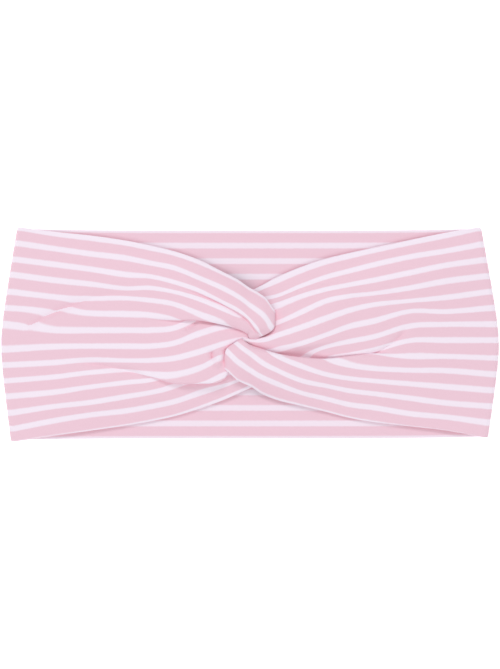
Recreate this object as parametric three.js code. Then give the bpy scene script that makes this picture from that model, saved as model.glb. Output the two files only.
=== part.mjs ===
// Twist-front stretch headband, lying flat on its back band.
// Millimetres, +X along the band, +Y across it, +Z up. The origin is under the middle, on the resting surface.
//
// Three fabric panels, each a turned tube of an outer layer and a lining:
//   two front wings that hook round each other in the middle, and one flat back band.
// Seams inside the tubes: one along each long edge, one at each side fold, one behind the knot.
import * as THREE from 'three';

// Overall outline
const SIDE_REACH = 125;            // centre to the furthest point of a side fold
const SIDE_BOW = 8;                // how far a side fold bows out between its corners
const SIDE_BOW_Y = -5;             // where it bows out furthest
const SIDE_BOW_SPAN = 58;
const BAND_HALF_WIDTH = 51.7;
const BAND_FLARE = 1.4;            // the back band widens a little at its corners
const KNOT_HALF_WIDTH = 25;        // half width of the front where it is gathered in the knot
const WING_FULL_HALF = 55.2;
const WING_NARROWING = 46;         // length over which a wing narrows towards the knot

// Cloth
const CLOTH = 0.7;                 // thickness of one layer of jersey
const TUBE_GAP = 1.0;              // space between the two layers of a tube
const EDGE_GAP = 0.3;              // the same space where the layers meet at a turned edge
const SEAM_THICKNESS = 0.4;
const PANEL_GAP = 0.3;             // between the ends of two panels at a side seam
const LAYER_IN = TUBE_GAP / 2;
const LAYER_OUT = LAYER_IN + CLOTH;

// Heights of the middle of a tube
const BAND_Z = LAYER_OUT;
const FOLD_RADIUS = 1.6;
const FOLD_Z = BAND_Z + FOLD_RADIUS;
const WING_SIDE_Z = FOLD_Z + FOLD_RADIUS;
const WING_ARCH_Z = 8.6;           // the wings stand this high between the side folds and the knot
const REAR_Z = 6.6;                // knot, rear level: the half of a wing that passes behind
const TURN_Z = 9.7;                // knot, middle level: the folded-back end of a lobe
const FRONT_Z = 13.0;              // knot, front level: the lobe that crosses in front

// Where things happen along a wing, measured in X from the middle of the knot
const ARCH_X = -78;                // the wing has risen to its arch here
const GATHER_X = -62;              // the lanes of cloth start to part into two halves here
const RISE_X = -36;                // the two halves start to change height here
const KNOT_X = -16;                // the knot starts here
const END_X = -0.6;                // the rear half ends at the knot seam
const LOBE_X = 10.0;               // the lobe reaches this far past the middle before it turns back
const LOBE_DROP = 0.75;            // the lobe narrows this much for each millimetre past the middle

// Where things happen across a wing, as a fraction of its half width, -1 to 1
const REAR_EDGE = 0.10;            // rear half below this
const FRONT_EDGE = 0.30;           // front lobe above this
const REAR_SPLIT = 0.10;           // the rear half keeps this far from the middle line
const FRONT_SPLIT = 0.15;          // and the front lobe this far
const TURN_LIFT = 2.5;             // the folded-back end keeps this much further away
const LOBE_CROWN = 1.0;            // the lobe is fuller than its edges by this much
const EDGE_ROW = 0.96;             // a layer starts to close up on the other one here
const TOP_SEAM_ROWS = [0.89, 0.95];
const BOTTOM_SEAM_ROWS = [-0.95, -0.89];
const SIDE_SEAM_REACH = 0.84;      // a side seam goes this far towards both edges
const SIDE_SEAM_ANGLE = 0.8;       // and this far round the side fold to each side, in radians

const FOLD_STEPS = 4;
const RUN_STEPS = 9;
const KNOT_STEPS = 4;
const LOBE_STEPS = 3;
const TURN_STEPS = 6;

const pink = (r, g, b) => new THREE.MeshStandardMaterial({ color: new THREE.Color(r, g, b), roughness: 0.9 });
const outerCloth = () => pink(0.88, 0.66, 0.74);
const liningCloth = () => pink(0.92, 0.76, 0.82);
const thread = () => pink(0.95, 0.9, 0.92);

const clamp01 = (t) => Math.min(1, Math.max(0, t));
const smooth = (t) => clamp01(t) ** 2 * (3 - 2 * clamp01(t));
const mix = (a, b, t) => a + (b - a) * t;
const spaced = (from, to, steps) => Array.from({ length: steps }, (_, i) => mix(from, to, i / steps));

// Half length of the object at a given Y: both side folds bow outwards.
function sideReach(y, bowY) {
  return SIDE_REACH - SIDE_BOW * ((y - bowY) / SIDE_BOW_SPAN) ** 2;
}

function wingHalfWidth(x) {
  if (x > 0) return KNOT_HALF_WIDTH - LOBE_DROP * x;
  return WING_FULL_HALF - (WING_FULL_HALF - KNOT_HALF_WIDTH) * Math.exp(x / WING_NARROWING);
}

// Across the knot the cloth is shared between a front lobe and a rear half, with a steep step between.
function knotLane(v) {
  if (v > FRONT_EDGE) return mix(FRONT_SPLIT, 1, (v - FRONT_EDGE) / (1 - FRONT_EDGE));
  if (v < REAR_EDGE) return mix(-REAR_SPLIT, -1, (REAR_EDGE - v) / (1 + REAR_EDGE));
  return mix(-REAR_SPLIT, FRONT_SPLIT, (v - REAR_EDGE) / (FRONT_EDGE - REAR_EDGE));
}

function wingY(x, v) {
  const gathered = smooth((x - GATHER_X) / (KNOT_X - GATHER_X));
  return wingHalfWidth(x) * mix(v, knotLane(v), gathered);
}

function knotZ(v) {
  const crown = LOBE_CROWN * Math.sin(Math.PI * clamp01((v - FRONT_EDGE) / (1 - FRONT_EDGE)));
  return mix(REAR_Z, FRONT_Z, smooth((v - REAR_EDGE) / (FRONT_EDGE - REAR_EDGE))) + crown;
}

function wingZ(x, v, startX) {
  const arch = mix(WING_SIDE_Z, WING_ARCH_Z, smooth((x - startX) / (ARCH_X - startX)));
  return mix(arch, knotZ(v), smooth((x - RISE_X) / (KNOT_X - RISE_X)));
}

// One lane of a wing, from its side seam to the knot seam and, in the lobe, on round the turn.
function wingLane(v, bowY) {
  const cornerY = wingHalfWidth(-SIDE_REACH) * v;
  const foldCentreX = -sideReach(cornerY, bowY) + LAYER_OUT + FOLD_RADIUS;
  const lane = [];
  for (const t of spaced(PANEL_GAP / 2 / FOLD_RADIUS, Math.PI / 2, FOLD_STEPS)) {
    const x = foldCentreX - FOLD_RADIUS * Math.cos(t);
    lane.push(new THREE.Vector3(x, wingY(x, v), FOLD_Z + FOLD_RADIUS * Math.sin(t)));
  }
  const run = [...spaced(foldCentreX, KNOT_X, RUN_STEPS), ...spaced(KNOT_X, END_X, KNOT_STEPS), END_X];
  for (const x of run) {
    lane.push(new THREE.Vector3(x, wingY(x, v), wingZ(x, v, foldCentreX)));
  }
  return lane.concat(lobeLane(v));
}

// The part of a lobe's lane past the knot seam: ahead at one height, round the turn, and back.
// The end that is folded back draws away from the lobe's lower edge by TURN_LIFT.
function lobeLane(v) {
  const top = knotZ(v);
  const radius = (top - TURN_Z) / 2;
  const lift = TURN_LIFT * (1 - v) / (1 - FRONT_EDGE);
  const at = (x, z, turned) => new THREE.Vector3(x, wingY(x, v) + lift * turned, z);
  const ahead = spaced(END_X, LOBE_X, LOBE_STEPS).slice(1).map((x) => at(x, top, 0));
  const turn = spaced(0, Math.PI, TURN_STEPS).map((t) => {
    return at(LOBE_X + radius * Math.sin(t), top - radius + radius * Math.cos(t), t / Math.PI);
  });
  const back = [...spaced(LOBE_X, -END_X, LOBE_STEPS), -END_X].map((x) => at(x, TURN_Z, 1));
  return [...ahead, ...turn, ...back];
}

const REAR_ROWS = [-1, ...spaced(-EDGE_ROW, REAR_EDGE, 5), ...spaced(REAR_EDGE, FRONT_EDGE, 3)];
const WING_ROWS = [...REAR_ROWS, ...spaced(FRONT_EDGE, EDGE_ROW, 5), EDGE_ROW, 1];
const REAR_COLUMNS = FOLD_STEPS + RUN_STEPS + KNOT_STEPS + 1;

// The middle surface of a wing: rows of points, and rows of directions across them.
// Rows below the lobe stop at the knot seam.
function wingGrid(rows, bowY) {
  const step = 0.002;
  const kept = (v) => (v < FRONT_EDGE ? REAR_COLUMNS : Infinity);
  const points = rows.map((v) => wingLane(v, bowY).slice(0, kept(v)));
  const across = rows.map((v, j) => {
    const before = wingLane(v - step, bowY);
    const after = wingLane(v + step, bowY);
    return points[j].map((_, i) => after[i].clone().sub(before[i]));
  });
  return { points, across };
}

// The back band: flat, turning up at both side folds.
function bandLane(v) {
  const y = BAND_HALF_WIDTH * v;
  const centreX = sideReach(y, SIDE_BOW_Y) - LAYER_OUT - FOLD_RADIUS;
  const arc = spaced(PANEL_GAP / 2 / FOLD_RADIUS, Math.PI / 2, FOLD_STEPS);
  const end = arc.map((t) => [centreX + FOLD_RADIUS * Math.cos(t), FOLD_Z - FOLD_RADIUS * Math.sin(t)]);
  const run = spaced(-centreX, centreX, 8).concat(centreX).map((x) => [x, BAND_Z]);
  const left = end.map(([x, z]) => [-x, z]);
  const flare = (x) => y * (1 + BAND_FLARE / BAND_HALF_WIDTH * Math.abs(x / SIDE_REACH) ** 4);
  return [...left, ...run, ...end.reverse()].map(([x, z]) => new THREE.Vector3(x, flare(x), z));
}

// The direction along a row at point i. At a row's ends it follows the row's bend.
function alongRow(row, i) {
  const last = row.length - 1;
  if (i > 0 && i < last) return row[i + 1].clone().sub(row[i - 1]);
  const [a, b, c] = i === 0 ? [row[0], row[1], row[2]] : [row[last], row[last - 1], row[last - 2]];
  const inward = b.clone().multiplyScalar(4).sub(c).addScaledVector(a, -3);
  return i === 0 ? inward : inward.negate();
}

// A closed solid between two offsets of a grid of points, whose rows may differ in length.
// offsets(j) gives the two offsets of row j along the grid's normals.
function sheetSolid({ points, across }, offsets) {
  const normals = points.map((row, j) => row.map((_, i) => alongRow(row, i).cross(across[j][i]).normalize()));
  const position = [];
  const number = points.map((row, j) => row.map((p, i) => {
    for (const offset of offsets(j)) {
      const q = p.clone().addScaledVector(normals[j][i], offset);
      position.push(q.x, q.y, q.z);
    }
    return position.length / 3 - 2;
  }));
  const index = [];
  const quad = (a, b, c, d) => index.push(a, b, c, a, c, d);
  const isCell = (i, j) => {
    if (i < 0 || j < 0 || j + 1 >= points.length) return false;
    return i + 1 < points[j].length && i + 1 < points[j + 1].length;
  };
  for (let j = 0; j + 1 < points.length; j += 1) {
    for (let i = 0; isCell(i, j); i += 1) {
      const corners = [number[j][i], number[j][i + 1], number[j + 1][i + 1], number[j + 1][i]];
      const [a, b, c, d] = corners;
      quad(a + 1, b + 1, c + 1, d + 1);
      quad(a, d, c, b);
      if (!isCell(i, j - 1)) quad(a, b, b + 1, a + 1);
      if (!isCell(i + 1, j)) quad(b, c, c + 1, b + 1);
      if (!isCell(i, j + 1)) quad(c, d, d + 1, c + 1);
      if (!isCell(i - 1, j)) quad(d, a, a + 1, d + 1);
    }
  }
  const geometry = new THREE.BufferGeometry();
  geometry.setAttribute('position', new THREE.Float32BufferAttribute(position, 3));
  geometry.setIndex(index);
  geometry.computeVertexNormals();
  return geometry;
}

// The offsets of one cloth layer: side 1 is the outer layer, side -1 the lining.
// The two layers close up on each other at the turned edges.
function layerOffsets(side, rows) {
  return (j) => {
    const inner = Math.abs(rows[j]) === 1 ? EDGE_GAP / 2 : LAYER_IN;
    const pair = [side * inner, side * (inner + CLOTH)];
    return side > 0 ? pair : pair.reverse();
  };
}

const seamOffsets = () => [-SEAM_THICKNESS / 2, SEAM_THICKNESS / 2];

const headband = new THREE.Group();

function add(parent, name, geometry, material) {
  const mesh = new THREE.Mesh(geometry, material);
  mesh.name = name;
  parent.add(mesh);
}

// The seam along a long edge, inside the tube: a strip of lanes that keeps clear of both ends.
function edgeSeam({ points, across }, fromStart, fromEnd) {
  const trim = (row) => row.slice(fromStart, -fromEnd);
  return sheetSolid({ points: points.map(trim), across: across.map(trim) }, seamOffsets);
}

function addWing(side, bowY, turn) {
  const wing = new THREE.Group();
  wing.rotation.z = turn;
  const grid = wingGrid(WING_ROWS, bowY);
  add(wing, `${side}_wing_outer`, sheetSolid(grid, layerOffsets(1, WING_ROWS)), outerCloth());
  add(wing, `${side}_wing_lining`, sheetSolid(grid, layerOffsets(-1, WING_ROWS)), liningCloth());
  const ends = turn === 0 ? ['bottom', 'top'] : ['top', 'bottom'];
  ends.forEach((end, i) => {
    const rows = i === 0 ? BOTTOM_SEAM_ROWS : TOP_SEAM_ROWS;
    add(wing, `${side}_wing_${end}_seam`, edgeSeam(wingGrid(rows, bowY), FOLD_STEPS + 1, 1), thread());
  });
  headband.add(wing);
}

addWing('left', SIDE_BOW_Y, 0);
addWing('right', -SIDE_BOW_Y, Math.PI);

// The back band's lanes run the other way round the loop, so its layers swap sides.
const BAND_ROWS = [-1, ...spaced(-EDGE_ROW, EDGE_ROW, 8), EDGE_ROW, 1];

function bandGrid(rows) {
  const step = 0.01;
  const points = rows.map((v) => bandLane(v));
  const across = rows.map((v) => {
    const before = bandLane(v - step);
    return bandLane(v + step).map((p, i) => p.sub(before[i]));
  });
  return { points, across };
}

add(headband, 'back_band_outer', sheetSolid(bandGrid(BAND_ROWS), layerOffsets(-1, BAND_ROWS)), outerCloth());
add(headband, 'back_band_lining', sheetSolid(bandGrid(BAND_ROWS), layerOffsets(1, BAND_ROWS)), liningCloth());
const bandSeam = (rows) => edgeSeam(bandGrid(rows), FOLD_STEPS + 1, FOLD_STEPS + 1);
add(headband, 'back_band_bottom_seam', bandSeam(BOTTOM_SEAM_ROWS), thread());
add(headband, 'back_band_top_seam', bandSeam(TOP_SEAM_ROWS), thread());

// A side seam joins a wing to the back band inside the tube, where it turns round the side fold.
function sideSeam(sign) {
  const rows = spaced(-SIDE_SEAM_REACH, SIDE_SEAM_REACH, 12).concat(SIDE_SEAM_REACH);
  const angles = spaced(-SIDE_SEAM_ANGLE, SIDE_SEAM_ANGLE, 4).concat(SIDE_SEAM_ANGLE);
  const lane = (v) => {
    const y = BAND_HALF_WIDTH * v;
    const centreX = sideReach(y, SIDE_BOW_Y) - LAYER_OUT - FOLD_RADIUS;
    const x = (t) => sign * (centreX + FOLD_RADIUS * Math.cos(t));
    return angles.map((t) => new THREE.Vector3(x(t), y, FOLD_Z - sign * FOLD_RADIUS * Math.sin(t)));
  };
  const points = rows.map(lane);
  const across = points.map((row) => row.map(() => new THREE.Vector3(0, 1, 0)));
  return sheetSolid({ points, across }, seamOffsets);
}

add(headband, 'left_side_seam', sideSeam(-1), thread());
add(headband, 'right_side_seam', sideSeam(1), thread());

// The seam behind the knot, where the ends of the two wings are sewn together.
const KNOT_SEAM_WIDTH = 8;
const KNOT_SEAM_LENGTH = 42;
const KNOT_SEAM_THICKNESS = 1.0;
const knotSeamOutline = new THREE.Shape();
const capY = (KNOT_SEAM_LENGTH - KNOT_SEAM_WIDTH) / 2;
knotSeamOutline.absarc(0, capY, KNOT_SEAM_WIDTH / 2, 0, Math.PI);
knotSeamOutline.absarc(0, -capY, KNOT_SEAM_WIDTH / 2, Math.PI, 2 * Math.PI);
const knotSeam = new THREE.ExtrudeGeometry(knotSeamOutline, {
  depth: KNOT_SEAM_THICKNESS,
  bevelEnabled: false,
  curveSegments: 8,
});
knotSeam.translate(0, 0, REAR_Z - LAYER_OUT - PANEL_GAP - KNOT_SEAM_THICKNESS);
add(headband, 'knot_seam', knotSeam, thread());

export default headband;
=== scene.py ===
"""A twist-front stretch headband of striped jersey, lying flat on its back band, seen from straight above."""
import math

import bpy
import numpy as np
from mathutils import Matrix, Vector


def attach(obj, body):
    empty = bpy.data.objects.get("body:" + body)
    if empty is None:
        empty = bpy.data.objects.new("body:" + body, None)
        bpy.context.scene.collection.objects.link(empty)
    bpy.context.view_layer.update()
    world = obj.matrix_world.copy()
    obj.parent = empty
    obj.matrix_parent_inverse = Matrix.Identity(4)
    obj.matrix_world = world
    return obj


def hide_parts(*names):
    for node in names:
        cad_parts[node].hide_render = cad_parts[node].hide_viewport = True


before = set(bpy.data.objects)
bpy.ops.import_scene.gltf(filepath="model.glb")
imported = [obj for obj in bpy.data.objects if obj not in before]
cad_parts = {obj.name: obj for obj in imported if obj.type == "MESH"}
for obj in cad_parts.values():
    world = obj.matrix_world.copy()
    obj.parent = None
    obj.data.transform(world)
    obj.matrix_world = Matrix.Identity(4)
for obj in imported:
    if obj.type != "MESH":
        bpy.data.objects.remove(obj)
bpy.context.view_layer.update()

# Every length here is in millimetres until a mesh is made.
MM = 0.001

# Cloth: a tube of two layers, turned out at its long edges.
CLOTH = 0.44                # thickness of one layer of jersey
LAYER_GAP = 0.14            # from the middle of the tube to the inside of a layer
HALF_TUBE = LAYER_GAP + CLOTH
SEAM_THICKNESS = 0.22

# Stripes, one pitch of pink and white each, counted from the top edge.
STRIPE_PITCH = 8.0
STRIPE_COUNT = 13
WHITE_SHARE = 0.37
STRIPE_BLEND = 0.085        # width of the blend at a stripe's edge, in pitches
STRIPE_TOOTH = 0.008        # how far the edge steps with each column of stitches, in pitches
STRIPE_WANDER = 0.35        # the edge strays within this width
WANDER_SCALE = 0.35         # and this often, per millimetre
UV_SCALE = 0.01             # one unit of the UV map is 100 mm of cloth

# Colours, as sRGB values of 0 to 255, and the jersey's other looks.
PINK = (238, 201, 216)
PALE_PINK = (241, 206, 220)
WHITE = (247, 235, 247)
# THREAD_DARK is painted shade, in the grooves between the thread's wraps.
THREAD_DARK = (226, 196, 208)
THREAD_LIGHT = (247, 236, 242)
MOTTLE_SCALE = 1.1          # how often the pink changes, per millimetre
LINING_TINT = 0.12          # how much pinker the lining is
WALE = 0.72                 # width of a column of stitches, along the stripes
COURSE = 0.5                # height of a row of stitches, across them
STITCH_DEPTH = 0.12
# Painted shade: where other cloth is near, the jersey's colour is drawn towards a redder, darker copy of
# itself.
PAINTED_SHADE_REACH = 4.2            # how near other cloth has to be for shade to be painted into the colour
PAINTED_SHADE_STRENGTH = 0.88            # how strongly that shade is painted
PAINTED_SHADE_GREEN_BLUE = 0.93                # what is left of green and blue in the painted shade
THREAD_WRAP = 1.6           # length of one stitch of overlock thread
THREAD_SLANT = 0.4          # how far a stitch leans
THREAD_DEPTH = 0.2

# The side folds. Each bows out to its tip, by one amount from its top corner and another from its bottom one.
SIDE_REACH = 125.0
SIDE_BOWS = {"left": (8.2, 6.2), "right": (9.0, 7.2)}
SIDE_BOW_SPAN = 58.0        # from the tip to a corner
SIDE_BOW_Y = -5.0           # where the tip is
SIDE_TIP = 12.0             # how blunt it is
FOLD_RADIUS = 1.7           # of the middle of a tube
FOLD_STEPS = 8
SEAM_SLIT = 0.06            # half the gap between the ends of two panels at a side fold

# The back band. It is wider by its flare at its top and bottom corners.
BAND_HALF_WIDTH = 51.7
BAND_FLARE = {"left": (1.3, 0.9), "right": (1.3, -1.2)}
FLARE_SHARPNESS = 4
BAND_PITCH = 7.8            # the stripes' pitch on the back band
BAND_SHIFT = 0.23           # its stripes are this much closer together behind the knot, in pitches, each way
BAND_SHIFT_SPAN = 20.0
BAND_ROWS = 61
BAND_COLUMNS = 81

# Seams. A seam's rows and columns are counted in the grid of the tube that it lies in.
EDGE_TURNS = np.radians([84, 60, 30])    # where a layer has points as it rounds a long edge
SEAM_ROWS = (slice(1, 6), slice(-6, -1))
SEAM_INSET = FOLD_STEPS + 2              # columns that a seam leaves free at each end
SIDE_SEAM_REACH = 0.92      # share of the back band's half width
SIDE_SEAM_ROWS = 41
SIDE_SEAM_ANGLE = 1.25      # how far round the side fold it goes to each side, in radians
SIDE_SEAM_COLUMNS = 13
KNOT_SEAM_BOTTOM = 4.15
KNOT_SEAM_THICKNESS = 0.9
KNOT_SEAM_HALF_LENGTH = 20.5
KNOT_SEAM_HALF_WIDTH = 3.6
KNOT_SEAM_COLUMNS = 17
KNOT_SEAM_RIBS = 26
KNOT_SEAM_RIB_STEPS = 8
KNOT_SEAM_RIB_DEPTH = 0.22  # share of the thickness
KNOT_SEAM_END_WIDTH = 0.12  # share of the width that is left at the ends
KNOT_SEAM_END_THICKNESS = 0.3
KNOT_SEAM_END_POWER = 10    # the higher, the blunter the ends
KNOT_SEAM_CROWN = 0.96      # how much the seam thins towards its sides
KNOT_SEAM_CROWN_POWER = 4

# Camera, lights and floor, in metres and watts.
CAMERA_LENS = 200.0         # this and the sensor are in millimetres
CAMERA_SENSOR = 36.0
VIEW_WIDTH = 0.251          # across the frame at the height of the side folds
SIDE_HEIGHT = 0.003
KEY_LIGHT = dict(place=(-0.25, 1.0, 1.05), size=0.4, energy=5.8)
FILL_LIGHT = dict(place=(0.0, -0.8, 1.05), size=0.9, energy=4.9)
ROOM_LIGHT = 0.62
FLOOR_SIZE = 4.0
FLOOR_DEPTH = 0.0002        # just under the headband
FLOOR_GLOW = 0.45

# Stations along a wing, measured from the knot, and the wing's height at each.
# The first is the side fold, which each lane meets at its own X.
STATIONS = [None, -98, -80, -62, -50, -38, -26, -14, -6, -1]
ARCH = [3.98, 5.6, 6.8, 7.4, 7.6, 7.8, 8.0, 8.0, 8.0, 8.0]
HEM_DROP = np.array([0, 2.8, 4.3, 4.9, 5.0, 4.9, 4.5, 3.9, 3.4, 3.2])   # how much lower the long edges hang
HEM_SPREAD = 1.6            # how far in from an edge that reaches, in stripe pitches
WING_SHIFT = -0.35          # both wings lie this much below the middle of the back band
NEAREST_GUIDES = 0.05       # guide points that are closer together than this are spaced as if this far apart

# Guide lanes of the left wing, from its top edge to its bottom edge. Each lane has
#   t: where it lies across the cloth, in stripe pitches, at each station or at all of them,
#   y: its place at each station,
#   lift: its height above the arch at the last seven stations,
#   end_x: its X at the last station, where that isn't the station's own.
LEFT_LANES = [
    dict(t=[0.04, -0.06, -0.1, -0.1, -0.1, -0.08, -0.05, 0.0, 0.04, 0.07],
         y=[53.4, 51.3, 49.5, 46.9, 44.5, 41.6, 37.4, 31.4, 27.2, 23.7],
         lift=[0, -0.1, -0.4, -0.5, -0.3, 0.2, 0.7]),
    dict(t=1,
         y=[46.0, 43.3, 40.7, 38.5, 36.0, 33.5, 28.6, 23.4, 19.0, 15.4],
         lift=[0, 0.2, 0.6, 1.5, 3.3, 4.5, 4.9]),
    dict(t=[2.1, 2.1, 2.1, 2.1, 2.1, 2.1, 2.1, 2.1, 2.25, 2.32],
         y=[37.1, 34.6, 32.2, 29.4, 28.6, 25.8, 22.0, 16.2, 11.5, 7.9],
         lift=[0, 0.3, 0.9, 2.6, 5.0, 5.8, 5.8]),
    dict(t=[2.5, 2.5, 2.5, 2.5, 2.5, 2.5, 2.5, 2.5, 2.75, 3.25],
         y=[34.2, 31.5, 29.3, 26.7, 26.6, 24.0, 20.6, 16.3, 11.6, 7.9],
         lift=[0, 0.2, 0.6, 1.4, 3.2, 4.0, 4.2]),
    dict(t=[3, 3, 3, 3, 3, 3, 3, 3, 3.2, 3.4],
         y=[30.3, 27.6, 25.6, 23.4, 23.6, 21.6, 18.1, 13.1, 8.6, 5.9],
         lift=[0, 0.2, 0.8, 2.2, 4.4, 5.0, 5.0]),
    dict(t=[4, 4, 4, 4, 4, 4, 4, 3.75, 3.5, 3.5],
         y=[21.7, 19.3, 18.4, 18.5, 17.5, 15.6, 11.0, 8.6, 6.2, 3.8],
         lift=[0, 0.2, 1.0, 2.8, 4.6, 5.0, 4.8]),
    dict(t=[5.1, 5.1, 5.1, 5.1, 5.1, 5.0, 4.45, 4.1, 3.8, 3.75],
         y=[12.8, 11.6, 10.2, 9.7, 9.3, 8.0, 7.8, 5.7, 3.5, 0.8],
         lift=[0.2, 0.4, 1.0, 2.2, 3.2, 3.4, 3.2]),
    dict(t=[5.3, 5.3, 5.3, 5.3, 5.3, 5.25, 5.3, 5.5, 5.5, 5.5],
         y=[11.2, 9.6, 8.5, 8.1, 7.8, 8.2, 12.5, 12.7, 10.0, 7.0],
         lift=[0.1, 0, -0.6, 0.6, 1.6, 2.2, 2.2]),
    dict(t=[5.5, 5.5, 5.5, 5.5, 5.5, 5.5, 6.1, 6.8, 7.05, 7.3],
         y=[9.6, 7.6, 6.8, 6.5, 6.3, 7.2, 8.0, 5.6, 3.6, 1.0],
         lift=[0, -0.2, -0.4, -0.2, 0.8, 1.6, 1.6], end_x=1.5),
    dict(t=[6, 6, 6, 6, 6, 6, 6.55, 7.0, 7.4, 7.6],
         y=[5.5, 2.5, 2.5, 2.5, 2.5, 3.5, 4.2, 4.0, 1.6, -0.2],
         lift=[0, 0.2, 0.2, 0.8, 1.8, 2.2, 1.8], end_x=1.0),
    dict(t=[7, 7, 7, 7, 7, 7, 7, 7.5, 7.75, 7.85],
         y=[-7.2, -5.7, -5.5, -5.5, -5.5, -4.0, 0.5, -0.2, -0.6, -0.9],
         lift=[0.3, 0.5, 0.8, 1.8, 2.6, 2.4, 1.6]),
    dict(t=8,
         y=[-14.9, -13.7, -12.2, -12.7, -12.6, -11.5, -8.5, -4.5, -2.3, -1.8],
         lift=[0.4, 0.6, 1.0, 1.8, 2.3, 1.8, 1.2]),
    dict(t=[8.6, 8.6, 8.6, 8.5, 8.7, 9, 9, 9.0, 8.5, 8.4],
         y=[-19.9, -18.1, -16.2, -15.1, -17.1, -19.6, -16.6, -10.7, -3.6, -2.8],
         lift=[0.5, 0.6, 1.2, 1.5, 0.9, 0.3, 0]),
    dict(t=[9.3, 9.3, 9.2, 9.0, 9.2, 9.5, 9.9, 10.35, 9, 9],
         y=[-25.0, -23.0, -20.0, -17.6, -20.4, -23.6, -23.7, -22.3, -8.0, -7.0],
         lift=[0.2, 0.4, 0.7, 0.7, 0.1, -0.9, -1.2]),
    dict(t=[9.7, 9.7, 9.7, 9.5, 9.7, 10.15, 10.6, 10.8, 10, 10],
         y=[-28.2, -26.2, -24.0, -20.6, -20.9, -20.5, -19.5, -18.5, -13, -12],
         lift=[-0.2, -0.3, -0.4, -0.5, -0.8, -1.4, -1.6]),
    dict(t=[10.1, 10.1, 10.1, 10.0, 10.0, 10.8, 11.3, 11.4, 11, 11],
         y=[-31.4, -29.3, -26.4, -23.6, -22.4, -23.9, -23.8, -22.0, -18, -17],
         lift=[-0.2, -0.5, -1.0, -1.2, -1.4, -1.5, -1.6]),
    dict(t=[11, 11, 11, 11, 11, 11.3, 11.7, 11.75, 11.5, 11.5],
         y=[-38.9, -35.6, -33.6, -30.6, -28.6, -27.8, -26.5, -23.9, -20.6, -18.3],
         lift=[-0.1, -0.3, -0.6, -0.9, -1.2, -1.4, -1.6], end_x=1.5),
    dict(t=12,
         y=[-46.9, -42.7, -39.7, -37.7, -35.6, -33.1, -29.1, -25.3, -22.4, -19.8],
         lift=[-0.1, -0.2, -0.5, -1.0, -1.5, -1.6, -1.7], end_x=2.0),
    dict(t=[12.8, 12.82, 12.84, 12.86, 12.88, 12.9, 12.95, 13, 13, 13],
         y=[-52.7, -49.9, -47.4, -44.8, -42.7, -40.2, -36.6, -32.3, -28.8, -24.8],
         lift=[-0.3, -0.5, -0.9, -1.4, -1.8, -1.9, -2.0], end_x=2.5),
]

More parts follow.
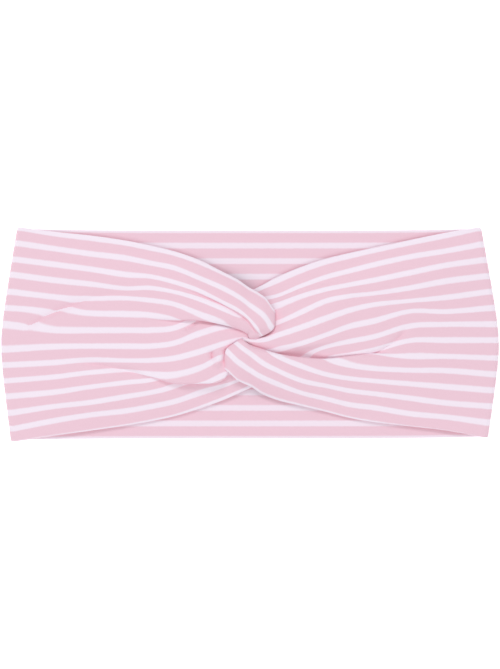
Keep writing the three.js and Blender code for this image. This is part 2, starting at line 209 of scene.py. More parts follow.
# The right wing is laid out turned half round, so its lanes run from its bottom edge to its top edge.
RIGHT_LANES = [
    dict(t=[0.22, 0.2, 0.18, 0.14, 0.12, 0.1, 0.08, 0.07, 0.06, 0.05],
         y=[50.7, 47.3, 45.2, 43.1, 41.0, 37.9, 35.0, 32.1, 28.9, 25.6],
         lift=[-0.2, -0.4, -0.5, -0.8, -1.2, -1.2, 0.0]),
    dict(t=1,
         y=[43.7, 40.9, 39.2, 36.1, 34.6, 31.6, 28.6, 24.1, 20.6, 17.8],
         lift=[0.1, 0.2, 0.6, 1.4, 2.9, 4.1, 4.7]),
    dict(t=2,
         y=[35.6, 33.9, 31.4, 29.1, 27.6, 25.1, 22.6, 17.6, 13.6, 9.8],
         lift=[0.2, 0.4, 1.2, 2.8, 4.6, 5.4, 5.6]),
    dict(t=[2.5, 2.5, 2.5, 2.5, 2.5, 2.5, 2.5, 2.5, 2.3, 2.2],
         y=[31.6, 29.8, 27.9, 26.0, 24.6, 22.3, 19.1, 14.1, 10.9, 8.3],
         lift=[0.2, 0.5, 1.5, 3.2, 4.8, 5.4, 5.4]),
    dict(t=[3, 3, 3, 3, 3, 3, 3, 3, 2.55, 2.35],
         y=[27.6, 25.8, 24.3, 22.8, 21.6, 19.6, 15.6, 10.8, 8.9, 6.9],
         lift=[0.3, 0.7, 1.8, 3.4, 4.6, 5.0, 4.8]),
    dict(t=[4, 4, 4, 4, 4, 3.7, 3.3, 3.1, 2.68, 2.45],
         y=[19.6, 17.7, 17.5, 16.7, 15.1, 14.2, 13.4, 10.2, 8.0, 6.2],
         lift=[0.4, 0.9, 1.8, 3.0, 4.2, 4.4, 4.0]),
    dict(t=[4.9, 4.9, 4.9, 4.9, 4.5, 3.95, 3.5, 3.2, 2.8, 2.55],
         y=[12.1, 11.3, 11.3, 9.6, 10.8, 12.2, 11.5, 9.8, 7.4, 5.7],
         lift=[0.2, 0.6, 1.2, 2.2, 3.2, 3.2, 2.8]),
    dict(t=[5.2, 5.2, 5.2, 5.3, 5.2, 5.0, 5.1, 5.4, 5.6, 5.6],
         y=[10.0, 9.2, 8.8, 10.0, 13.0, 16.0, 17.5, 16.0, 13.0, 10.0],
         lift=[-0.8, -0.6, -0.2, 0.2, 1.0, 1.8, 1.8]),
    dict(t=[5.5, 5.5, 5.5, 5.7, 5.85, 6.1, 7.05, 7.6, 8.15, 8.5],
         y=[6.5, 6.5, 6.0, 9.2, 10.6, 12.0, 11.2, 9.6, 6.9, 3.0],
         lift=[-0.9, -1.0, -1.2, -1.2, 0.5, 1.2, 1.5], end_x=3.4),
    dict(t=[6, 6, 6, 6.0, 6.1, 6.3, 7.3, 7.8, 8.35, 8.6],
         y=[2.5, 2.5, 2.7, 7.2, 9.0, 9.8, 8.7, 8.3, 5.8, 2.9],
         lift=[0.1, -0.3, -0.3, -0.5, 1.1, 1.7, 1.9], end_x=3.6),
    dict(t=[7, 7, 7, 7, 7, 7, 7.5, 8.0, 8.55, 8.75],
         y=[-5.5, -5.5, -4.6, 0.8, 3.0, 5.6, 7.0, 7.0, 4.9, 2.7],
         lift=[0.5, 0.4, 0.6, 1.0, 1.8, 2.1, 2.2], end_x=3.8),
    dict(t=[7.5, 7.5, 7.5, 7.5, 7.5, 7.45, 7.72, 8.2, 8.72, 8.88],
         y=[-9.6, -8.7, -8.3, -3.2, -0.6, 3.0, 5.5, 5.4, 4.0, 2.5],
         lift=[0.6, 0.8, 1.7, 2.3, 2.5, 2.4, 2.3], end_x=3.9),
    dict(t=[8, 8, 8, 8, 8, 8, 8, 8.5, 8.9, 8.97],
         y=[-13.6, -11.8, -12.1, -7.1, -4.5, -0.1, 4.0, 3.6, 3.1, 2.3],
         lift=[0.6, 0.9, 1.8, 2.8, 2.8, 2.5, 2.4], end_x=3.8),
    dict(t=[9, 9, 9, 9, 9, 9, 9, 9, 9.1, 9.1],
         y=[-21.8, -18.9, -17.1, -15.4, -12.6, -8.5, -4.0, 0.0, 1.9, 2.0],
         lift=[0.5, 1.0, 1.8, 2.4, 2.8, 2.4, 2.2], end_x=3.4),
    dict(t=9.5,
         y=[-25.6, -22.8, -20.3, -18.1, -16.1, -12.6, -7.8, -3.0, 0.5, 1.2],
         lift=[0.3, 0.7, 1.2, 1.4, 1.2, 0.2, 0.8], end_x=2.0),
    dict(t=10,
         y=[-29.6, -27.1, -23.6, -20.8, -19.6, -17.1, -11.5, -6.0, -4.0, -3.5],
         lift=[0.2, 0.4, 0.6, 0.5, -0.4, -1.4, -1.6]),
    dict(t=10.7,
         y=[-35.2, -32.6, -28.9, -25.4, -23.4, -21.1, -17.2, -12.0, -10, -9.5],
         lift=[-0.1, 0, -0.1, -0.6, -1.2, -1.6, -1.7]),
    dict(t=[11, 11, 11, 11, 11, 11, 11, 11.1, 11.1, 11.1],
         y=[-37.7, -35.0, -31.1, -27.3, -25.1, -22.8, -19.6, -15.9, -13.6, -12.6],
         lift=[0, 0.1, 0.2, -0.4, -1.3, -1.7, -1.8]),
    dict(t=12,
         y=[-45.4, -42.1, -39.2, -35.2, -32.1, -28.9, -24.6, -19.6, -18, -17],
         lift=[0, 0, 0, -0.6, -1.4, -1.8, -1.9]),
    dict(t=[12.97, 13.1, 13.15, 13.15, 13.15, 13.15, 13.15, 13.15, 13.15, 13.15],
         y=[-53.4, -50.8, -47.2, -43.4, -40.8, -37.9, -33.9, -28.9, -24.6, -22.0],
         lift=[-0.3, -0.3, -0.5, -1.0, -1.8, -2.0, -2.1]),
]

# The lobe of a wing goes on past the knot's middle, turns under and comes back to the knot seam.
# Each of its lanes has
#   way: a point on the way, in X, Y and Z,
#   turn: the turning point, in X, Y and Z,
#   end: its Y where it ends,
#   t: where it lies across the cloth, where that isn't its place at the last station.
LEFT_LOBE = [
    dict(way=(7.5, 18.3, 7.4), turn=(12.2, 11.4, 8.0), end=19.0, t=[0.1, 0.13, 0.16, 0.16, 0.1]),
    dict(way=(6.8, 9.6, 12.6), turn=(11.2, 3.4, 10.6), end=13.0),
    dict(way=(2.8, 3.0, 13.5), turn=(5.4, -0.2, 11.0), end=6.5),
    dict(way=(2.5, 2.8, 12.2), turn=(4.9, -0.4, 11.0), end=6.2),
    dict(way=(1.8, 1.9, 12.7), turn=(3.9, -0.9, 11.0), end=5.2),
    dict(way=(0.6, 0.9, 12.2), turn=(2.2, -1.4, 10.8), end=4.2),
    dict(way=(-0.6, -0.6, 10.9), turn=(0.2, -1.9, 10.0), end=3.4),
]
RIGHT_LOBE = [
    dict(way=(6.0, 22.2, 7.2), turn=(12.4, 16.5, 8.3), end=19.0, t=0.12),
    dict(way=(6.5, 12.6, 12.6), turn=(11.6, 7.6, 10.6), end=13.0),
    dict(way=(3.2, 6.9, 13.4), turn=(7.0, 3.9, 11.0), end=8.0),
    dict(way=(2.6, 6.1, 13.0), turn=(6.0, 3.3, 11.0), end=7.4),
    dict(way=(2.0, 5.4, 12.6), turn=(5.2, 2.9, 11.0), end=6.8),
    dict(way=(1.7, 4.8, 12.2), turn=(4.6, 2.6, 10.8), end=6.2),
    dict(way=(1.5, 4.3, 11.2), turn=(4.2, 2.3, 10.2), end=5.6),
]
TURN_RISE = 1.2             # from the turning point's height to the cloth before and after it
TURN_INSET = 1.5            # how far back from the turning point that cloth is
LOBE_END = (1.0, 9.2)       # X and Z where a lobe's end is caught in the knot seam

# Small creases in the wings. Each has
#   path: its line in X and Y,
#   depth: how far the cloth dips along it (a ridge where negative),
#   width: how fast the dip rises again to each side,
#   tuck: how much cloth is hidden in it, in stripe pitches.
LEFT_CREASES = [
    dict(path=[(-114, 1.5), (-107, 6.5), (-100, 10.2), (-91, 14), (-80, 17.5)],
         depth=1.5, width=1.3, tuck=0.2),
    dict(path=[(-97, 12), (-84, 16.2), (-70, 20), (-54, 22)], depth=1.1, width=2.1),
    dict(path=[(-90, -13.6), (-75, -15.4), (-62, -18), (-50, -20.5)], depth=1.5, width=1.5),
    dict(path=[(-33.5, 1.5), (-29.5, 4.2), (-26, 7)], depth=1.0, width=0.9),
    dict(path=[(-19.5, -7.4), (-19.2, -10.2), (-18.8, -13.4)], depth=1.9, width=0.9),
    dict(path=[(-13.6, -7.5), (-15.4, -12), (-17, -17)], depth=-2.0, width=1.2),
    dict(path=[(-11.8, -6), (-12.6, -10.5), (-13.2, -14.5)], depth=1.3, width=0.7),
]
RIGHT_CREASES = [
    dict(path=[(54, -10.4), (61, -9.5), (66, -7.6), (71, -4.4), (76, 0), (81, 6)],
         depth=1.3, width=0.9, tuck=0.07),
    dict(path=[(46, 17.5), (58, 20), (68, 20.5), (84, 18)], depth=1.0, width=1.6, tuck=0.03),
    dict(path=[(24, 20), (34, 24), (46, 26.5)], depth=0.5, width=1.2),
]
CREASE_STEPS = 8            # pieces that a crease's line has between two of its points
CREASE_ROUNDING = 0.5       # how blunt the bottom of a crease is
CREASE_FADE = 0.25          # share of a crease's length over which it fades at each end
TUCK_WIDTH = 0.35           # from the middle of a tuck to its edges
TUCK_REACH = 2.5            # how far a tuck draws on the cloth beside it, in widths of its crease

# How finely the cloth is divided: rows between two guide lanes, and columns between two stations.
LANE_STEPS = 10
STATION_STEPS = [20, 16, 16, 12, 12, 14, 24, 12, 6]
LOBE_STEPS = [6, 6, 5, 5, 8]


def side_reach(y, side):
    """How far a side fold reaches from the middle at a place across the headband: a rounded bow."""
    away = y - SIDE_BOW_Y
    top, bottom = SIDE_BOWS[side]
    bow = np.where(away > 0, top, bottom)
    rounded = np.hypot(away, SIDE_TIP) - SIDE_TIP
    return SIDE_REACH - bow * rounded / (np.hypot(SIDE_BOW_SPAN, SIDE_TIP) - SIDE_TIP)


def smooth(t):
    """A soft step from 0 to 1."""
    t = np.clip(t, 0.0, 1.0)
    return t * t * (3.0 - 2.0 * t)


def through(points, steps):
    """A centripetal Catmull-Rom curve through points, along axis 0.

    points has shape (n, ..., d), and steps[i] steps lie between points i and i + 1.
    The spacing is taken from the first three coordinates.
    """
    p = np.concatenate([2 * points[:1] - points[1:2], points, 2 * points[-1:] - points[-2:-1]])
    gap = np.linalg.norm(np.diff(p[..., :3], axis=0), axis=-1, keepdims=True)
    gap = np.sqrt(np.maximum(gap, NEAREST_GUIDES))
    out = []
    for i, count in enumerate(steps):
        a, b, c, d = p[i:i + 4]
        g0, g1, g2 = gap[i:i + 3]
        start = g1 * ((b - a) / g0 - (c - a) / (g0 + g1) + (c - b) / g1)
        end = g1 * ((c - b) / g1 - (d - b) / (g1 + g2) + (d - c) / g2)
        for f in np.arange(count) / count:
            h1 = 2 * f ** 3 - 3 * f ** 2 + 1
            h2 = f ** 3 - 2 * f ** 2 + f
            h3 = 3 * f ** 2 - 2 * f ** 3
            h4 = f ** 3 - f ** 2
            out.append(h1 * b + h2 * start + h3 * c + h4 * end)
    out.append(points[-1])
    return np.array(out)


def body_points(lanes, reach):
    """Guide points of a wing up to the knot seam, as [lane][station] = x, y, z, t."""
    points = np.zeros((len(lanes), len(STATIONS), 4))
    for i, lane in enumerate(lanes):
        y = np.array(lane["y"], float)
        x = np.array([0.0] + STATIONS[1:], float)
        x[0] = -reach(y[0]) + HALF_TUBE + FOLD_RADIUS
        x[-1] = lane.get("end_x", x[-1])
        lift = np.concatenate([np.zeros(len(y) - len(lane["lift"])), lane["lift"]])
        t = np.array(lane["t"]) * np.ones(len(y))
        to_hem = np.minimum(np.abs(t), np.abs(STRIPE_COUNT - t))
        lift -= HEM_DROP * np.exp(-(to_hem / HEM_SPREAD) ** 2)
        points[i, :, 0] = x
        points[i, :, 1] = y
        points[i, :, 2] = np.array(ARCH) + lift
        points[i, :, 3] = t
    return points


def lobe_points(body, lobe):
    """Guide points of a lobe past the knot seam: the way, round the turn, and the end."""
    points = np.zeros((len(lobe), len(LOBE_STEPS), 4))
    for i, lane in enumerate(lobe):
        way = np.array(lane["way"])
        turn = np.array(lane["turn"])
        back = unit(way[:2] - turn[:2])
        near = turn[:2] + TURN_INSET * back
        points[i, 0, :3] = way
        points[i, 1, :3] = [near[0], near[1], turn[2] + TURN_RISE]
        points[i, 2, :3] = turn
        points[i, 3, :3] = [near[0], near[1], turn[2] - TURN_RISE]
        points[i, 4, :3] = [LOBE_END[0], lane["end"], min(LOBE_END[1], turn[2] - TURN_RISE)]
        points[i, :, 3] = lane.get("t", body[i, -1, 3])
    return points


def wing_grid(lanes, lobe, creases, reach, shift):
    """The middle surface of a wing as a grid [row][column] = x, y, z, t. It is NaN past the end of a row."""
    body = body_points(lanes, reach)
    lobe = lobe_points(body, lobe)
    front = np.concatenate([body[:len(lobe)], lobe], axis=1)
    front = through(front.swapaxes(0, 1), STATION_STEPS + LOBE_STEPS)
    rear = through(body[len(lobe):].swapaxes(0, 1), STATION_STEPS)
    shared = len(rear)
    across = [LANE_STEPS] * (len(lanes) - 1)
    part_one = through(np.concatenate([front[:shared], rear], axis=1).swapaxes(0, 1), across)
    part_two = through(front[shared:].swapaxes(0, 1), across[:len(lobe) - 1])
    rows, columns = len(part_one), shared + part_two.shape[1]
    grid = np.full((rows, columns, 4), np.nan)
    grid[:, :shared] = part_one
    grid[:len(part_two), shared:] = part_two
    grid[..., 1] += shift
    grid[:, :shared] = add_creases(grid[:, :shared], creases)
    return add_fold(grid)


def add_creases(grid, creases):
    """Presses creases into a wing's middle surface, before its lobe turns under."""
    x, y = grid[..., 0].copy(), grid[..., 1].copy()
    for crease in creases:
        points = np.array([(a, b, 0.0) for a, b in crease["path"]])
        path = through(points, [CREASE_STEPS] * (len(points) - 1))[:, :2]
        best = np.full(x.shape, np.inf)
        signed = np.zeros_like(x)
        place = np.zeros_like(x)
        for k, (a, b) in enumerate(zip(path[:-1], path[1:])):
            step = b - a
            f = np.clip(((x - a[0]) * step[0] + (y - a[1]) * step[1]) / (step @ step), 0, 1)
            dx, dy = x - a[0] - f * step[0], y - a[1] - f * step[1]
            distance = np.hypot(dx, dy)
            nearer = distance < best
            best = np.where(nearer, distance, best)
            signed = np.where(nearer, np.sign(dy * step[0] - dx * step[1]) * distance, signed)
            place = np.where(nearer, (k + f) / (len(path) - 1), place)
        fade = smooth(place / CREASE_FADE) * smooth((1 - place) / CREASE_FADE)
        rise = np.hypot(signed / crease["width"], CREASE_ROUNDING) - CREASE_ROUNDING
        grid[..., 2] -= crease["depth"] * fade * np.exp(-rise)
        drawn_in = np.exp(-best / (TUCK_REACH * crease["width"]))
        grid[..., 3] -= fade * crease.get("tuck", 0.0) * np.tanh(signed / TUCK_WIDTH) * drawn_in
    return grid


def add_fold(grid):
    """Adds the quarter turn at the side fold, before the first column."""
    start = grid[:, 0]
    angles = np.linspace(SEAM_SLIT / FOLD_RADIUS, math.pi / 2, FOLD_STEPS + 1)[:-1]
    fold = np.repeat(start[:, None], FOLD_STEPS, axis=1)
    fold[:, :, 0] -= FOLD_RADIUS * np.cos(angles)
    fold[:, :, 2] -= FOLD_RADIUS * (1 - np.sin(angles))
    return np.concatenate([fold, grid], axis=1)


def band_grid():
    """The middle surface of the back band, which turns up at both side folds."""
    y = BAND_HALF_WIDTH * np.linspace(1, -1, BAND_ROWS)
    left, right = [side_reach(y, side)[:, None] - HALF_TUBE - FOLD_RADIUS for side in ("left", "right")]
    angles = np.linspace(math.pi / 2, SEAM_SLIT / FOLD_RADIUS, FOLD_STEPS + 1)
    run = np.linspace(0, 1, BAND_COLUMNS)[1:-1]
    grid = np.zeros((len(y), len(run) + 2 * len(angles), 4))
    fold_x = FOLD_RADIUS * np.cos(angles)
    fold_z = HALF_TUBE + FOLD_RADIUS * (1 - np.sin(angles))
    columns = [-left - fold_x[::-1], -left * (1 - run) + right * run, right + fold_x]
    grid[:, :, 0] = np.concatenate(columns, axis=1)
    grid[:, :, 2] = np.concatenate([fold_z[::-1], np.full(len(run), HALF_TUBE), fold_z])
    flares = {side: np.where(y[:, None] > 0, *BAND_FLARE[side]) for side in ("left", "right")}
    flare = np.where(grid[:, :, 0] < 0, flares["left"], flares["right"])
    to_corner = np.abs(grid[:, :, 0] / SIDE_REACH) ** FLARE_SHARPNESS
    grid[:, :, 1] = y[:, None] * (1 + flare / BAND_HALF_WIDTH * to_corner)
    from_middle = y[:, None] / BAND_PITCH
    grid[:, :, 3] = STRIPE_COUNT / 2 - from_middle + BAND_SHIFT * np.clip(y[:, None] / BAND_SHIFT_SPAN, -1, 1)
    return grid


def unit(v):
    """The same vectors with a length of 1."""
    return v / np.maximum(np.linalg.norm(v, axis=-1, keepdims=True), 1e-9)


def central(grid, axis):
    """Differences along an axis that leave out missing neighbours."""
    ahead = np.roll(grid, -1, axis)
    behind = np.roll(grid, 1, axis)
    last = [slice(None)] * grid.ndim
    last[axis] = -1
    first = [slice(None)] * grid.ndim
    first[axis] = 0
    ahead[tuple(last)] = np.nan
    behind[tuple(first)] = np.nan
    ahead = np.where(np.isnan(ahead), grid, ahead)
    behind = np.where(np.isnan(behind), grid, behind)
    return ahead - behind


def normals_of(grid):
    """The direction at right angles to a grid's surface, at each of its points."""
    along = central(grid[..., :3], 1)
    down = central(grid[..., :3], 0)
    return unit(np.cross(down, along))


def edge_rows(grid, normal, radius):
    """Rows that round a layer over at its long edges: those before the first row, those after the last."""
    rows = []
    for edge, inside in ((0, 1), (-1, -2)):
        outward = unit(grid[edge, :, :3] - grid[inside, :, :3])
        turns = [normal[edge] * math.cos(a) + outward * math.sin(a) for a in EDGE_TURNS]
        rows.append([grid[edge, :, :3] + radius * turn for turn in turns])
    return np.array(rows[0]), np.array(rows[1][::-1])


def cloth_coordinates(grid):
    """Length along the cloth and place across it, in millimetres, for each point of a grid."""
    step = np.linalg.norm(np.diff(grid[..., :3], axis=1), axis=-1)
    along = grid[:, :1, 0] + np.concatenate([np.zeros((len(grid), 1)), np.cumsum(step, axis=1)], axis=1)
    return np.stack([along, grid[..., 3] * STRIPE_PITCH], axis=-1)


def make_layer(name, grid, side):
    """One cloth layer of a tube: side is 1 on the grid's normal side and -1 on the other."""
    normal = normals_of(grid) * side
    faces = []
    for offset in (HALF_TUBE, LAYER_GAP):
        before, after = edge_rows(grid, normal, offset)
        faces.append(np.concatenate([before, grid[..., :3] + normal * offset, after]))
    cloth = cloth_coordinates(grid)
    turns = len(EDGE_TURNS)
    cloth = np.concatenate([np.repeat(cloth[:1], turns, 0), cloth, np.repeat(cloth[-1:], turns, 0)])
    return closed_mesh(name, faces, cloth, side < 0)


def make_strip(name, grid):
    """A seam allowance lying in the middle of a tube."""
    normal = normals_of(grid) * SEAM_THICKNESS / 2
    return closed_mesh(name, [grid[..., :3] + normal, grid[..., :3] - normal], cloth_coordinates(grid), False)


def closed_mesh(name, faces, cloth, flip):
    """A closed mesh between two faces of a grid that may be stepped, with cloth coordinates as its UV map."""
    kept = ~np.isnan(faces[0][..., 0])
    number = np.cumsum(kept.ravel()).reshape(kept.shape) - 1
    count = int(kept.sum())
    cell = np.zeros((kept.shape[0] + 1, kept.shape[1] + 1), bool)
    cell[1:-1, 1:-1] = kept[:-1, :-1] & kept[1:, :-1] & kept[:-1, 1:] & kept[1:, 1:]
    quads = []
    for j, i in zip(*np.nonzero(cell[1:-1, 1:-1])):
        a, b = number[j, i], number[j, i + 1]
        c, d = number[j + 1, i + 1], number[j + 1, i]
        quads.append((a, d, c, b))
        quads.append((a + count, b + count, c + count, d + count))
        sides = (
            (a, b, cell[j, i + 1]),
            (b, c, cell[j + 1, i + 2]),
            (c, d, cell[j + 2, i + 1]),
            (d, a, cell[j + 1, i]),
        )
        for p, q, has_neighbour in sides:
            if not has_neighbour:
                quads.append((p, q, q + count, p + count))
    vertices = np.concatenate([faces[0][kept], faces[1][kept]]) * MM
    corners = np.array(quads)
    if flip:
        corners = corners[:, ::-1]
    mesh = bpy.data.meshes.new(name)
    mesh.from_pydata(vertices.tolist(), [], corners.tolist())
    uv = np.concatenate([cloth[kept], cloth[kept]])[corners.ravel()] * UV_SCALE
    mesh.uv_layers.new(name="cloth").data.foreach_set("uv", uv.ravel())
    mesh.polygons.foreach_set("use_smooth", [True] * len(mesh.polygons))
    mesh.update()
    piece = bpy.data.objects.new(name, mesh)
    bpy.context.scene.collection.objects.link(piece)
    return piece


def turned(grid):
    """The same grid turned half round about Z, with its stripes counted from the other edge."""
    out = grid.copy()
    out[..., 0] = -grid[..., 0]
    out[..., 1] = -grid[..., 1]
    out[..., 3] = STRIPE_COUNT - grid[..., 3]
    return out


def make_knot_seam():
    """The overlocked seam behind the knot: a soft ribbed strip with round ends."""
    length = np.linspace(-1, 1, KNOT_SEAM_RIB_STEPS * KNOT_SEAM_RIBS + 1)
    width = np.linspace(-1, 1, KNOT_SEAM_COLUMNS)
    y = KNOT_SEAM_HALF_LENGTH * length[:, None] * np.ones(KNOT_SEAM_COLUMNS)
    round_end = np.sqrt(np.clip(1 - np.abs(length) ** KNOT_SEAM_END_POWER, 0, 1))[:, None]
    x = KNOT_SEAM_HALF_WIDTH * (KNOT_SEAM_END_WIDTH + (1 - KNOT_SEAM_END_WIDTH) * round_end) * width
    furrow = 0.5 - 0.5 * np.cos(2 * math.pi * KNOT_SEAM_RIBS * length)[:, None]
    crown = np.sqrt(np.clip(1 - KNOT_SEAM_CROWN * width ** KNOT_SEAM_CROWN_POWER, 0, 1))
    crown = crown * (KNOT_SEAM_END_THICKNESS + (1 - KNOT_SEAM_END_THICKNESS) * round_end)
    half = KNOT_SEAM_THICKNESS / 2 * crown * (1 - KNOT_SEAM_RIB_DEPTH * furrow)
    middle = KNOT_SEAM_BOTTOM + KNOT_SEAM_THICKNESS / 2
    faces = [np.stack([x, y, middle + sign * half], axis=-1) for sign in (-1, 1)]
    return closed_mesh("knot_overlock", faces, np.stack([x, y], axis=-1), False)


def side_seam_grid(side, sign):
    """The middle of a side seam allowance, from the wing round the side fold to the back band."""
    y = BAND_HALF_WIDTH * np.linspace(SIDE_SEAM_REACH, -SIDE_SEAM_REACH, SIDE_SEAM_ROWS)
    centre = side_reach(y, side) - HALF_TUBE - FOLD_RADIUS
    angles = np.linspace(-SIDE_SEAM_ANGLE, SIDE_SEAM_ANGLE, SIDE_SEAM_COLUMNS)
    grid = np.zeros((len(y), len(angles), 4))
    grid[..., 0] = sign * (centre[:, None] + FOLD_RADIUS * np.cos(angles))
    grid[..., 1] = y[:, None]
    grid[..., 2] = HALF_TUBE + FOLD_RADIUS * (1 + np.sin(angles))
    return grid


def math_node(tree, operation, *inputs, clamp=False):
    """A Math node's output. Its inputs are numbers or other nodes' outputs."""
    node = tree.nodes.new("ShaderNodeMath")
    node.operation = operation
    node.use_clamp = clamp
    for socket, value in zip(node.inputs, inputs):
        if isinstance(value, (int, float)):
            socket.default_value = value
        else:
            tree.links.new(value, socket)
    return node.outputs[0]


def mix_colour(tree, factor, first, second):
    """The first colour where factor is 0 and the second where it is 1."""
    node = tree.nodes.new("ShaderNodeMix")
    node.data_type = "RGBA"
    for socket, value in ((node.inputs[0], factor), (node.inputs[6], first), (node.inputs[7], second)):
        if isinstance(value, (int, float, tuple)):
            socket.default_value = value
        else:
            tree.links.new(value, socket)
    return node.outputs[2]


def noise(tree, vector, scale, detail=2.0):
    """Smooth noise between 0 and 1."""
    node = tree.nodes.new("ShaderNodeTexNoise")
    node.inputs["Scale"].default_value = scale
    node.inputs["Detail"].default_value = detail
    tree.links.new(vector, node.inputs["Vector"])
    return node.outputs["Fac"]


def linear(red, green, blue):
    """A colour for a shader from its sRGB values of 0 to 255."""
    def channel(c):
        c /= 255
        return c / 12.92 if c <= 0.04045 else ((c + 0.055) / 1.055) ** 2.4
    return (channel(red), channel(green), channel(blue), 1.0)


def stitch_height(tree, u, v):
    """Relief of plain jersey: columns of V-shaped stitches."""
    across = math_node(tree, "FRACT", math_node(tree, "DIVIDE", u, WALE))
    arm = math_node(tree, "ABSOLUTE", math_node(tree, "SUBTRACT", across, 0.5))
    arm = math_node(tree, "MULTIPLY", arm, 2.0)
    crown = math_node(tree, "SINE", math_node(tree, "MULTIPLY", arm, math.pi))
    row = math_node(tree, "ADD", math_node(tree, "DIVIDE", v, COURSE), arm)
    loop = math_node(tree, "COSINE", math_node(tree, "MULTIPLY", row, 2 * math.pi))
    loop = math_node(tree, "MULTIPLY_ADD", loop, 0.25, 0.75)
    return math_node(tree, "MULTIPLY", crown, loop)


def painted_fold_shade(tree):
    """How much shade to paint into the colour: 0 in the open and more in a fold, standing in for light that
    has passed through and off other cloth.
    """
    node = tree.nodes.new("ShaderNodeAmbientOcclusion")
    node.samples = 12
    node.inputs["Distance"].default_value = PAINTED_SHADE_REACH * MM
    hidden = math_node(tree, "SUBTRACT", 1.0, node.outputs["AO"])
    return math_node(tree, "MULTIPLY", hidden, PAINTED_SHADE_STRENGTH, clamp=True)


def shade_colour(tree, colour):
    """The colour of painted shade: the same colour with its red at full strength and its green and blue a
    little less.
    """
    parts = tree.nodes.new("ShaderNodeSeparateColor")
    tree.links.new(colour, parts.inputs[0])
    joined = tree.nodes.new("ShaderNodeCombineColor")
    joined.inputs[0].default_value = 1.0
    for channel in (1, 2):
        tree.links.new(math_node(tree, "MULTIPLY", parts.outputs[channel], PAINTED_SHADE_GREEN_BLUE), joined.inputs[channel])
    return joined.outputs[0]


def jersey(name, tint):
    """Pink jersey with white stripes along its length, by the cloth's own coordinates, and reddish shade
    painted into its folds.

    tint is how far all of it is drawn towards pink.
    """
    material = bpy.data.materials.new(name)
    material.use_nodes = True
    tree = material.node_tree
    shader = tree.nodes["Principled BSDF"]
    uv_map = tree.nodes.new("ShaderNodeUVMap")
    uv_map.uv_map = "cloth"
    scaled = tree.nodes.new("ShaderNodeVectorMath")
    scaled.operation = "SCALE"
    scaled.inputs["Scale"].default_value = 1 / UV_SCALE
    tree.links.new(uv_map.outputs[0], scaled.inputs[0])
    parts = tree.nodes.new("ShaderNodeSeparateXYZ")
    tree.links.new(scaled.outputs[0], parts.inputs[0])
    u, v = parts.outputs[0], parts.outputs[1]
    wander = math_node(tree, "SUBTRACT", noise(tree, scaled.outputs[0], WANDER_SCALE), 0.5)
    v_soft = math_node(tree, "MULTIPLY_ADD", wander, STRIPE_WANDER, v)
    pitch = math_node(tree, "DIVIDE", v_soft, STRIPE_PITCH)
    phase = math_node(tree, "SUBTRACT", math_node(tree, "FRACT", math_node(tree, "ADD", pitch, 0.5)), 0.5)
    distance = math_node(tree, "ABSOLUTE", phase)
    tooth = math_node(tree, "SINE", math_node(tree, "MULTIPLY", u, 2 * math.pi / WALE))
    distance = math_node(tree, "MULTIPLY_ADD", tooth, STRIPE_TOOTH, distance)
    inside = math_node(tree, "SUBTRACT", WHITE_SHARE / 2, distance)
    stripe = math_node(tree, "MULTIPLY_ADD", inside, 1 / STRIPE_BLEND, 0.5, clamp=True)
    mottle = noise(tree, scaled.outputs[0], MOTTLE_SCALE, 3.0)
    pink = mix_colour(tree, mottle, linear(*PINK), linear(*PALE_PINK))
    colour = mix_colour(tree, stripe, pink, linear(*WHITE))
    colour = mix_colour(tree, tint, colour, linear(*PINK))
    # Painted shade: folds are coloured redder and darker, by how near other cloth is.
    colour = mix_colour(tree, painted_fold_shade(tree), colour, shade_colour(tree, colour))
    tree.links.new(colour, shader.inputs["Base Color"])
    shader.inputs["Roughness"].default_value = 0.85
    shader.inputs["Specular IOR Level"].default_value = 0.25
    shader.inputs["Sheen Weight"].default_value = 0.25
    shader.inputs["Sheen Roughness"].default_value = 0.5
    shader.inputs["Sheen Tint"].default_value = (1.0, 0.93, 0.96, 1.0)
    bump = tree.nodes.new("ShaderNodeBump")
    bump.inputs["Strength"].default_value = 0.35
    bump.inputs["Distance"].default_value = STITCH_DEPTH * MM
    tree.links.new(stitch_height(tree, u, v), bump.inputs["Height"])
    tree.links.new(bump.outputs[0], shader.inputs["Normal"])
    return material


def thread(name):
    """Overlock thread: pale pink, with fine ridges where each stitch wraps the seam, and shade painted darker
    between them.
    """
    material = bpy.data.materials.new(name)
    material.use_nodes = True
    tree = material.node_tree
    shader = tree.nodes["Principled BSDF"]
    uv_map = tree.nodes.new("ShaderNodeUVMap")
    uv_map.uv_map = "cloth"
    parts = tree.nodes.new("ShaderNodeSeparateXYZ")
    tree.links.new(uv_map.outputs[0], parts.inputs[0])
    along, across = parts.outputs[0], parts.outputs[1]
    turns = math_node(tree, "MULTIPLY_ADD", across, THREAD_SLANT, along)
    wrap = math_node(tree, "SINE", math_node(tree, "MULTIPLY", turns, 2 * math.pi / (THREAD_WRAP * UV_SCALE)))
    height = math_node(tree, "MULTIPLY_ADD", wrap, 0.5, 0.5)
    # Painted shade: the thread's colour is darker in the grooves between its wraps, by the same height as its
    # bump.
    colour = mix_colour(tree, height, linear(*THREAD_DARK), linear(*THREAD_LIGHT))
    tree.links.new(colour, shader.inputs["Base Color"])
    shader.inputs["Roughness"].default_value = 0.7
    shader.inputs["Sheen Weight"].default_value = 0.2
    bump = tree.nodes.new("ShaderNodeBump")
    bump.inputs["Distance"].default_value = THREAD_DEPTH * MM
    tree.links.new(height, bump.inputs["Height"])
    tree.links.new(bump.outputs[0], shader.inputs["Normal"])
    return material


def dress(piece, material, slot, *nodes):
    """Gives a piece its material, puts it in the root body and hides the CAD nodes that it stands in for."""
    piece.data.materials.append(material)
    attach(piece, "root")
    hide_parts(*nodes)
    return piece


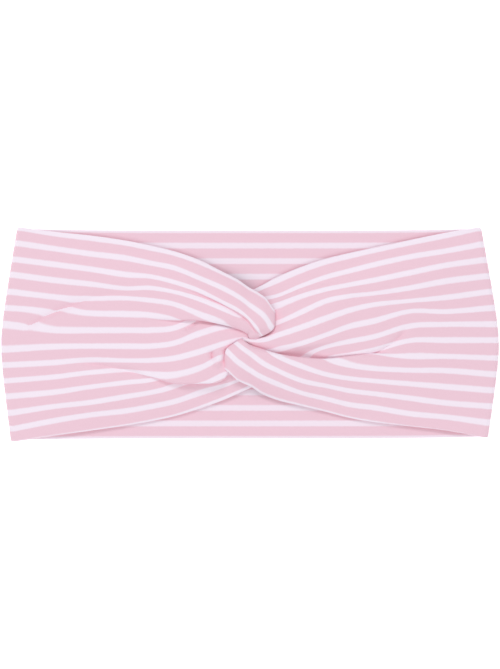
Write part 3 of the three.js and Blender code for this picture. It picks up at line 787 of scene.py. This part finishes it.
def add_panel(name, grid, outer_side, ends, outer_cloth, lining_cloth, seam_thread):
    """The outer layer, lining and edge seams of one tube, each in place of its CAD node."""
    outer = make_layer(f"{name}_cloth", grid, outer_side)
    dress(outer, outer_cloth, "striped_jersey", f"{name}_outer")
    lining = make_layer(f"{name}_lining_cloth", grid, -outer_side)
    dress(lining, lining_cloth, "striped_lining", f"{name}_lining")
    strips = []
    for end, rows in zip(ends, SEAM_ROWS):
        strip_grid = grid[rows, SEAM_INSET:]
        strip_grid = strip_grid[:, ~np.isnan(strip_grid[0, :, 0])][:, :-SEAM_INSET]
        strip = make_strip(f"{name}_{end}_allowance", strip_grid)
        strips.append(dress(strip, seam_thread, "seam_thread", f"{name}_{end}_seam"))
    return outer, lining, strips


def add_floor():
    """A pale floor that glows a little, so that it shows white."""
    bpy.ops.mesh.primitive_plane_add(size=FLOOR_SIZE, location=(0, 0, -FLOOR_DEPTH))
    floor = bpy.context.object
    floor.name = "floor"
    material = bpy.data.materials.new("pale_floor")
    material.use_nodes = True
    shader = material.node_tree.nodes["Principled BSDF"]
    shader.inputs["Base Color"].default_value = (0.95, 0.95, 0.95, 1.0)
    shader.inputs["Roughness"].default_value = 0.9
    shader.inputs["Emission Color"].default_value = (1.0, 1.0, 1.0, 1.0)
    shader.inputs["Emission Strength"].default_value = FLOOR_GLOW
    floor.data.materials.append(material)


def add_area_light(name, place, size, energy):
    """A square lamp that faces the origin."""
    light = bpy.data.lights.new(name, "AREA")
    light.shape = "SQUARE"
    light.size = size
    light.energy = energy
    lamp = bpy.data.objects.new(name, light)
    lamp.location = place
    lamp.rotation_euler = (-Vector(place)).to_track_quat("-Z", "Y").to_euler()
    bpy.context.scene.collection.objects.link(lamp)


def add_lights():
    """Even white light from all round, and a lamp beyond each long edge of the headband."""
    world = bpy.data.worlds.new("soft_room")
    bpy.context.scene.world = world
    world.use_nodes = True
    background = world.node_tree.nodes["Background"]
    background.inputs["Color"].default_value = (1.0, 1.0, 1.0, 1.0)
    background.inputs["Strength"].default_value = ROOM_LIGHT
    add_area_light("key", **KEY_LIGHT)
    add_area_light("fill", **FILL_LIGHT)


def add_camera():
    """A long lens straight above the origin, looking down."""
    camera = bpy.data.cameras.new("camera")
    camera.lens = CAMERA_LENS
    camera.sensor_width = CAMERA_SENSOR
    camera.sensor_fit = "HORIZONTAL"
    holder = bpy.data.objects.new("camera", camera)
    holder.location = (0, 0, SIDE_HEIGHT + VIEW_WIDTH * CAMERA_LENS / CAMERA_SENSOR)
    bpy.context.scene.collection.objects.link(holder)
    bpy.context.scene.camera = holder


add_camera()
outer_cloth = jersey("striped_jersey_cloth", 0.0)
lining_cloth = jersey("striped_lining_cloth", LINING_TINT)
seam_thread = thread("overlock_thread")

left = wing_grid(LEFT_LANES, LEFT_LOBE, LEFT_CREASES, lambda y: side_reach(y, "left"), WING_SHIFT)
right_creases = [dict(crease, path=[(-x, -y) for x, y in crease["path"]]) for crease in RIGHT_CREASES]
right = wing_grid(RIGHT_LANES, RIGHT_LOBE, right_creases, lambda y: side_reach(-y, "right"), -WING_SHIFT)
right = turned(right)
band = band_grid()
panels = [
    add_panel("left_wing", left, 1, ("top", "bottom"), outer_cloth, lining_cloth, seam_thread),
    add_panel("right_wing", right, 1, ("bottom", "top"), outer_cloth, lining_cloth, seam_thread),
    add_panel("back_band", band, -1, ("top", "bottom"), outer_cloth, lining_cloth, seam_thread),
]
for side, sign in (("left", -1), ("right", 1)):
    strip = make_strip(f"{side}_side_allowance", side_seam_grid(side, sign))
    dress(strip, seam_thread, "seam_thread", f"{side}_side_seam")
dress(make_knot_seam(), seam_thread, "seam_thread", "knot_seam")

add_floor()
add_lights()
bpy.context.scene.view_settings.view_transform = "Standard"
